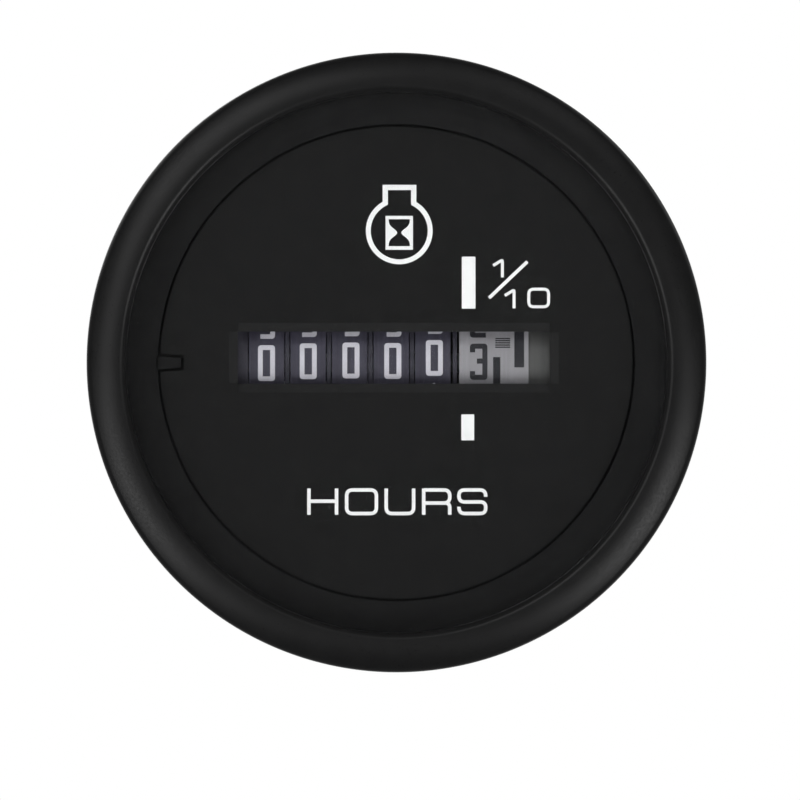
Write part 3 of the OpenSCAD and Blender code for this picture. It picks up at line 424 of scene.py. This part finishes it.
def soften(points, radius, closed):
    """Path with its corners rounded and its straight runs cut into short steps."""
    path = []
    count = len(points)
    for i, (u, v) in enumerate(points):
        corner = Vector((u, v))
        if radius and (closed or 0 < i < count - 1):
            a = Vector(points[i - 1]) - corner
            b = Vector(points[(i + 1) % count]) - corner
            turn = math.pi - a.angle(b)
            share_a = SHARED_RUN if closed or i > 1 else END_RUN
            share_b = SHARED_RUN if closed or i < count - 2 else END_RUN
            cut = min(radius * math.tan(turn / 2), a.length * share_a, b.length * share_b)
            start, end = corner + a.normalized() * cut, corner + b.normalized() * cut
            for k in range(CORNER_STEPS + 1):
                t = k / CORNER_STEPS
                path.append(tuple((1 - t) ** 2 * start + 2 * t * (1 - t) * corner + t * t * end))
        else:
            path.append((u, v))
    fine = []
    pairs = list(zip(path, path[1:] + path[:1])) if closed else list(zip(path, path[1:]))
    for p, q in pairs:
        length = (Vector(q) - Vector(p)).length
        parts = max(1, math.ceil(length / STRAIGHT_STEP))
        if length > SHORTEST_RUN:
            fine += [tuple(Vector(p).lerp(Vector(q), k / parts)) for k in range(parts)]
    return fine if closed else fine + [path[-1]]


def on_dial(u, v, height):
    """Lays a shape on the dial's face."""
    return u, DIAL_Y - height, v


# Hourglass in an engine's outline: a ring that opens into a neck, and the glass in a box
icon = Print(on_dial)
RING_X, RING_Z, RING_R, RING_LINE = 0.266, 12.79, 3.005, 0.475
NECK_L, NECK_R, NECK_TOP, NECK_FOOT, NECK_LINE = -1.09, 1.67, 17.0, 15.4, 0.51
OPENING_Z = 15.92
open_l = math.degrees(math.atan2(OPENING_Z - RING_Z, NECK_L - RING_X))
open_r = math.degrees(math.atan2(OPENING_Z - RING_Z, NECK_R - RING_X))
icon.stroke(arc((RING_X, RING_Z), RING_R, open_l, 360 + open_r, steps=90), RING_LINE)
icon.stroke([(NECK_L, NECK_FOOT), (NECK_L, NECK_TOP), (NECK_R, NECK_TOP), (NECK_R, NECK_FOOT)], NECK_LINE)
BOX_L, BOX_R, BOX_TOP, BOX_BASE = -1.07, 1.59, 14.24, 10.95
GLASS_X, GLASS_TOP, GLASS_BASE, GLASS_STEPS = 0.27, 13.92, 11.30, 12
icon.box(BOX_L, GLASS_TOP, BOX_R, BOX_TOP)
icon.box(BOX_L, BOX_BASE, BOX_R, GLASS_BASE)
# The glass swells from its waist to its ends along a bell curve
WAIST, SWELL, BELL, GLASS_OUT = 0.20, 0.83, 0.41, 1.33
glass_z, glass_half = (GLASS_TOP + GLASS_BASE) / 2, (GLASS_TOP - GLASS_BASE) / 2
for side in (-1, 1):
    curve = []
    for k in range(-GLASS_STEPS, GLASS_STEPS + 1):
        t = k / GLASS_STEPS
        half_width = WAIST + SWELL * (1 - math.exp(-(t / BELL) ** 2))
        curve.append((GLASS_X + side * half_width, glass_z - glass_half * t))
    outer = GLASS_X + side * GLASS_OUT
    icon.patch([(outer, GLASS_TOP)] + curve + [(outer, GLASS_BASE)])
icon.make("print_icon", INK, "wheel_white")

# Bars above and below the tenths wheel, by their left, base, right and top
BARS = ((6.34, 5.24, 7.66, 10.28), (6.29, -7.54, 7.54, -5.03))
bars = Print(on_dial)
for bar in BARS:
    bars.box(*bar)
bars.make("print_bars", INK, "wheel_white")

# The fraction one tenth
tenth = Print(on_dial)
THIN, FLAG_W, FLAG_H, FLAG_CORNER = 0.285, 0.90, 0.55, 0.12
SLASH_FOOT, SLASH_TOP, SLASH_LINE = (8.98, 6.27), (12.70, 9.80), 0.33
NOUGHT_L, NOUGHT_R, NOUGHT_BASE, NOUGHT_TOP, NOUGHT_CORNER = 12.84, 14.76, 5.42, 7.13, 0.5


def small_one(x, top, foot):
    """The figure one, with its flag to the left."""
    tenth.stroke([(x - FLAG_W, top - FLAG_H), (x, top), (x, foot)], THIN, FLAG_CORNER)


small_one(x=10.28, top=9.97, foot=8.27)
tenth.stroke([SLASH_FOOT, SLASH_TOP], SLASH_LINE)
small_one(x=11.41, top=7.06, foot=5.27)
tenth.stroke([(NOUGHT_L, NOUGHT_BASE), (NOUGHT_R, NOUGHT_BASE), (NOUGHT_R, NOUGHT_TOP),
              (NOUGHT_L, NOUGHT_TOP)], THIN, NOUGHT_CORNER, True)
tenth.make("print_tenth", INK, "wheel_white")

# The word below the window: the sides of each letter, the rows of its bars, and the ends of its uprights
word = Print(on_dial)
LINE, CORNER, LEG_CORNER = 0.34, 0.60, 0.45
H_L, H_R, O_L, O_R, U_L, U_R = -8.50, -5.82, -4.84, -1.95, -1.00, 1.66
R_L, R_R, S_L, S_R = 2.64, 5.17, 6.06, 8.66
TOP, BASE, H_ROW, R_ROW, S_ROW = -12.36, -14.65, -13.45, -13.63, -13.52
ABOVE, BELOW, HOOK, LEG_X = 0.14, 0.12, 0.66, 4.10
HIGH, LOW = TOP + ABOVE, BASE - BELOW
word.stroke([(H_L, HIGH), (H_L, LOW)], LINE)
word.stroke([(H_R, HIGH), (H_R, LOW)], LINE)
word.stroke([(H_L, H_ROW), (H_R, H_ROW)], LINE)
word.stroke([(O_L, BASE), (O_R, BASE), (O_R, TOP), (O_L, TOP)], LINE, CORNER, True)
word.stroke([(U_L, HIGH), (U_L, BASE), (U_R, BASE), (U_R, HIGH)], LINE, CORNER)
word.stroke([(R_L, HIGH), (R_L, LOW)], LINE)
word.stroke([(R_L, TOP), (R_R, TOP), (R_R, R_ROW), (R_L, R_ROW)], LINE, CORNER)
word.stroke([(LEG_X, R_ROW), (R_R, R_ROW), (R_R, LOW)], LINE, LEG_CORNER)
word.stroke([(S_R, TOP - HOOK), (S_R, TOP), (S_L, TOP), (S_L, S_ROW), (S_R, S_ROW), (S_R, BASE), (S_L, BASE),
             (S_L, BASE + HOOK)], LINE, CORNER)
word.make("print_hours", INK, "wheel_white")


# Figures round the wheels

AXIS_Y, WHEEL_R = 5.65, 6.65
STEP = math.radians(36)
FIGURE_H, FIGURE_CORNER = 3.05, 0.1
# Strokes of each figure in a box one wide and one high; True closes a stroke
FIGURES = [
    [(True, [(0, 0), (1, 0), (1, 1), (0, 1)])],
    [(False, [(0.25, 0.82), (0.5, 1.05), (0.5, -0.07)])],
    [(False, [(0, 0.72), (0, 1), (1, 1), (1, 0.5), (0, 0.5), (0, 0), (1.08, 0)])],
    [(False, [(0, 0.8), (0, 1), (1, 1), (1, 0), (0, 0), (0, 0.2)]), (False, [(0.35, 0.52), (1, 0.52)])],
    [(False, [(0.05, 1.06), (0.05, 0.34), (1.12, 0.34)]), (False, [(0.8, 0.75), (0.8, -0.07)])],
    [(False, [(1.05, 1), (0, 1), (0, 0.56), (1, 0.56), (1, 0), (-0.05, 0)])],
    [(False, [(1, 0.8), (1, 1), (0, 1), (0, 0.5)]), (True, [(0, 0), (1, 0), (1, 0.56), (0, 0.56)])],
    [(False, [(-0.08, 1), (1, 1), (0.35, -0.07)])],
    [(True, [(0, 0), (1, 0), (1, 1), (0, 1)]), (False, [(0, 0.52), (1, 0.52)])],
    [(True, [(0, 0.44), (1, 0.44), (1, 1), (0, 1)]), (False, [(1, 0.44), (1, 0), (0, 0)])],
]


def on_wheel(x, turn):
    """Lays a shape round a wheel, with its middle at x and raised by the angle turn."""
    def place(u, v, height):
        t = turn + v / WHEEL_R
        r = WHEEL_R + height
        return x + u, AXIS_Y - r * math.cos(t), r * math.sin(t)
    return place


def figures(ink, x, shown, turn, width, line):
    """The ten figures round a wheel; larger ones come up from below."""
    for number, strokes in enumerate(FIGURES):
        ink.place = on_wheel(x, turn - STEP * (number - shown))
        for closed, points in strokes:
            points = [((u - 0.5) * width, (v - 0.5) * FIGURE_H) for u, v in points]
            ink.stroke(points, line, FIGURE_CORNER, closed)


# Middle of each wheel's figures along X, and how far its nought stands above the middle
BANK = [("ten_thousands", -12.64, -0.05), ("thousands", -8.58, 0.14), ("hundreds", -4.43, 0.22),
        ("tens", -0.36, 0.17), ("units", 3.68, 0.48)]
for name, x, rise in BANK:
    ink = Print(None)
    figures(ink, x, shown=0, turn=math.asin(rise / WHEEL_R), width=1.19, line=0.465)
    ink.make("figures_" + name, FIGURE, "wheel_white", name)

# The tenths wheel also has two running marks and a block of fine lines, five times round
TENTHS_X, TENTHS_SHOWN, TENTHS_RISE, MARK_SETS = 7.99, 3, 0.09, 5
# X, start, end and width of the running marks
RUNNING_MARKS = ((9.74, 0.45, -3.95, 0.70), (11.93, -0.55, 3.85, 0.95))
FINE_L, FINE_R, FINE_START, FINE_PITCH, FINE_LINE, FINE_LINES = 9.60, 11.05, 1.42, 0.22, 0.12, 5
ink = Print(None)
turn = math.asin(TENTHS_RISE / WHEEL_R)
figures(ink, TENTHS_X, TENTHS_SHOWN, turn, width=1.2, line=0.5)
for k in range(MARK_SETS):
    ink.place = on_wheel(0, turn - 2 * STEP * k)
    for x, start, end, width in RUNNING_MARKS:
        ink.stroke([(x, start), (x, end)], width)
    for line in range(FINE_LINES):
        height = FINE_START + FINE_PITCH * line
        ink.stroke([(FINE_L, height), (FINE_R, height)], FINE_LINE)
ink.make("figures_tenths", MARK, "wheel_black", "tenths")


# Rear details: stud threads, signs beside the blades, wire turns and solder

def thread(start, end, outer, depth, pitch, steps=28, sink=0.05, foot=0.46, crest_half=0.07):
    """Ridge of a screw thread round the Y axis, run out at both ends.

    foot and crest_half are half widths, as shares of the pitch.
    """
    verts = []
    faces = []
    rings = int((end - start) / pitch * steps)
    root = outer - depth
    for k in range(rings + 1):
        y = start + (end - start) * k / rings
        t = 2 * math.pi * k / steps
        crest = root + depth * min(1, k / steps, (rings - k) / steps)
        for r, d in ((root - sink, -foot), (crest, -crest_half), (crest, crest_half), (root - sink, foot)):
            verts.append((r * math.cos(t), y + d * pitch, r * math.sin(t)))
    for k in range(rings):
        for i in range(4):
            j = (i + 1) % 4
            faces.append((k * 4 + i, k * 4 + j, k * 4 + 4 + j, k * 4 + 4 + i))
    return verts, faces + [(0, 1, 2, 3), tuple(rings * 4 + i for i in (3, 2, 1, 0))]


STUD_X, HEAD_R, HEAD_EDGE, HEAD_Y = 14.0, 3.2, 0.2, 36.4
SHANK_R, SHANK_Y, CORE_R, TIP_CHAMFER = 2.4, 39.5, 1.68, 0.3
THREAD_R, PITCH, RUN_IN, RUN_OUT = 2.0, 0.7, 0.7, 0.5
low, high = (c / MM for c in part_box("mounting_studs"))
stud = joined(
    revolve([(0, low.y), (HEAD_R - HEAD_EDGE, low.y), (HEAD_R, low.y + HEAD_EDGE), (HEAD_R, HEAD_Y),
             (SHANK_R, HEAD_Y), (SHANK_R, SHANK_Y), (CORE_R, SHANK_Y), (CORE_R, high.y - TIP_CHAMFER),
             (CORE_R - TIP_CHAMFER, high.y), (0, high.y)], steps=64),
    thread(SHANK_Y + RUN_IN, high.y - RUN_OUT, THREAD_R, THREAD_R - CORE_R, PITCH))
piece("threaded_studs", *joined(moved(stud, STUD_X), moved(stud, -STUD_X)), STEEL, "steel", smooth=30,
      replaced=["mounting_studs"])

REAR_Y, SIGN_X, SIGN_Z, SIGN_HALF, SIGN_LINE = 38.0, 7.5, -5.4, 1.2, 0.55
signs = Print(lambda u, v, height: (u, REAR_Y + height, v), depth=0.18, sink=0.1)
for u in (-SIGN_X, SIGN_X):
    signs.stroke([(u - SIGN_HALF, SIGN_Z), (u + SIGN_HALF, SIGN_Z)], SIGN_LINE)
signs.stroke([(SIGN_X, SIGN_Z - SIGN_HALF), (SIGN_X, SIGN_Z + SIGN_HALF)], SIGN_LINE)
signs.make("polarity_signs", CASE, "satin_black")


def wire_turns(low, high, turns=50, corner=1.2, dip_share=0.03, core_x=0.96, core_y=1.66):
    """Winding with a groove between turns, round a rectangular core along Z."""
    quarters = [(1, 1), (-1, 1), (-1, -1), (1, -1)]
    corner_points, corner_step, turn_levels = 7, 15, 4
    middle = (low + high) / 2
    straight = (high.x - low.x) / 2 - corner
    loop = []
    for k, (cx, cy) in enumerate(quarters):
        for i in range(corner_points):
            t = math.radians(90 * k + corner_step * i)
            loop.append((straight * cx + corner * math.cos(t), straight * cy + corner * math.sin(t)))
    verts = []
    faces = []
    count = len(loop)
    ring = count + len(quarters)
    levels = turn_levels * turns
    for k in range(levels + 1):
        dip = 1 - dip_share * abs(math.cos(math.pi * k / turn_levels)) ** 2
        z = low.z + (high.z - low.z) * k / levels
        verts += [(middle.x + u * dip, middle.y + v * dip, z) for u, v in loop]
        verts += [(middle.x + core_x * cx, middle.y + core_y * cy, z) for cx, cy in quarters]
    for k in range(levels):
        for i in range(count):
            j = (i + 1) % count
            faces.append((k * ring + i, k * ring + j, k * ring + ring + j, k * ring + ring + i))
        for i in range(4):
            a, b = k * ring + count + i, k * ring + count + (i + 1) % 4
            faces.append((b, a, a + ring, b + ring))
    for base in (0, levels * ring):
        for k in range(4):
            first = base + corner_points * k
            inner, after = base + count + k, base + count + (k + 1) % 4
            faces += [(first + i, first + i + 1, inner) for i in range(corner_points - 1)]
            faces.append((first + corner_points - 1, base + corner_points * (k + 1) % count, after, inner))
    return verts, faces


low, high = (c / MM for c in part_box("coil_winding"))
piece("wire_turns", *wire_turns(low, high), COPPER, "copper_wire", smooth=60, replaced=["coil_winding"])

# Solder where the blades meet the board's front and the coil's pins its back
BLADE_X, BLADE_Z, PIN_INSET = 7.5, -10.0, 0.35
# Radius and height above the board
BLADE_SOLDER = ((0, 0), (1.7, 0), (1.45, 0.25), (0.5, 0.42), (0, 0.45))
PIN_SOLDER = ((0, 0), (0.9, 0), (0.55, 0.3), (0.36, 0.45), (0, 0.45))
front_y, back_y = (c.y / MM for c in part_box("circuit_board"))
low, high = (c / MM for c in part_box("coil_pins"))
blade_joint = revolve([(r, front_y - h) for r, h in BLADE_SOLDER], steps=24)
pin_joint = revolve([(r, back_y + h) for r, h in PIN_SOLDER], steps=24)
pin_x = (low.x + high.x) / 2
joints = joined(moved(blade_joint, -BLADE_X, BLADE_Z), moved(blade_joint, BLADE_X, BLADE_Z),
                moved(pin_joint, pin_x, low.z + PIN_INSET), moved(pin_joint, pin_x, high.z - PIN_INSET))
piece("solder_joints", *joints, SOLDER, "steel", smooth=50)


# Light, floor and camera, in metres

def lamp(name, turn, tilt, distance, size, power):
    """Soft lamp at an angle round the face, tilted from the line to the camera, both in degrees."""
    t, p = math.radians(turn), math.radians(tilt)
    away = Vector((math.sin(p) * math.cos(t), -math.cos(p), math.sin(p) * math.sin(t)))
    data = bpy.data.lights.new(name, "AREA")
    data.shape = "DISK"
    data.size = size
    data.energy = power
    obj = bpy.data.objects.new(name, data)
    SCENE.collection.objects.link(obj)
    obj.location = away * distance
    obj.rotation_mode = "QUATERNION"
    obj.rotation_quaternion = (-away).to_track_quat("-Z", "Y")
    obj.visible_camera = False


lamp("lower_right", turn=328, tilt=38, distance=0.7, size=0.30, power=1.20)
lamp("front_right", turn=330, tilt=24, distance=0.7, size=0.26, power=0.46)
lamp("lower_left", turn=208, tilt=38, distance=0.7, size=0.30, power=0.82)
lamp("front_left", turn=204, tilt=24, distance=0.7, size=0.28, power=0.54)
lamp("upper_left", turn=132, tilt=28, distance=0.7, size=0.36, power=0.92)
lamp("top", turn=62, tilt=36, distance=0.7, size=0.34, power=0.34)
lamp("side_right", turn=35, tilt=105, distance=0.8, size=0.5, power=0.7)
lamp("side_left", turn=145, tilt=105, distance=0.8, size=0.5, power=0.7)
lamp("behind_left", turn=140, tilt=145, distance=0.8, size=0.5, power=0.8)


def white_studio(front=(0.15, 0.02), back=(0.4, 0.22), backdrop=(0.45, 0.95)):
    """Dim room that the camera sees as white.

    front and back are the place and level of the room's darker and lighter ends. Gloss and glass see white
    behind the object only, where the depth runs through backdrop, so the lens stays clear.
    """
    world = bpy.data.worlds.new("studio")
    SCENE.world = world
    world.use_nodes = True
    tree = world.node_tree
    depth = depth_part(tree, "Generated")
    room = grey_ramp(tree, remap(tree, depth, -1, 1), (front, back))
    path = tree.nodes.new("ShaderNodeLightPath")
    mirrored = combine(tree, "ADD", path.outputs["Is Glossy Ray"], path.outputs["Is Transmission Ray"])
    mirrored = combine(tree, "MULTIPLY", mirrored, remap(tree, depth, *backdrop))
    seen = combine(tree, "ADD", path.outputs["Is Camera Ray"], mirrored, clamp=True)
    tree.links.new(blend(tree, seen, room, (1, 1, 1)), tree.nodes["Background"].inputs["Color"])


def pale_floor(radius=0.26, middle_y=0.015, z=-0.06, sides=96, glow=0.4):
    """Round floor that the camera sees paler than the lamps light it."""
    turns = [2 * math.pi * k / sides for k in range(sides)]
    rim = [Vector((radius * math.cos(t), middle_y + radius * math.sin(t), z)) for t in turns]
    mesh = bpy.data.meshes.new("floor")
    mesh.from_pydata(rim, [], [tuple(range(sides))])
    material = surface("floor_pale", (0.86, 0.86, 0.86), 0.8, specular=0.1, grain=60, vary=0.01)
    mesh.materials.append(material)
    tree = material.node_tree
    shader = tree.nodes["Principled BSDF"]
    shader.inputs["Emission Color"].default_value = (1, 1, 1, 1)
    path = tree.nodes.new("ShaderNodeLightPath")
    pale = combine(tree, "MULTIPLY", path.outputs["Is Camera Ray"], glow)
    tree.links.new(pale, shader.inputs["Emission Strength"])
    floor = bpy.data.objects.new("floor", mesh)
    SCENE.collection.objects.link(floor)
    # The lamps below the floor shine through it, and the bezel doesn't mirror it, as the photo shows no floor
    floor.visible_shadow = False
    floor.visible_glossy = False


white_studio()
pale_floor()

# The camera looks straight at the face; VIEW_W is the width that the picture shows at the bezel
FAR, VIEW_W, SENSOR_W = 1.5, 0.07748, 36
VIEW_X, VIEW_Y, VIEW_Z = 0.00034, -0.007, -0.00363
camera_data = bpy.data.cameras.new("camera")
camera_data.sensor_width = SENSOR_W
camera_data.lens = SENSOR_W * FAR / VIEW_W
camera_data.clip_start = 0.01
camera_data.clip_end = 20
camera = bpy.data.objects.new("camera", camera_data)
SCENE.collection.objects.link(camera)
camera.location = (VIEW_X, VIEW_Y - FAR, VIEW_Z)
camera.rotation_euler = (math.radians(90), 0, 0)
SCENE.camera = camera
SCENE.view_settings.view_transform = "Standard"
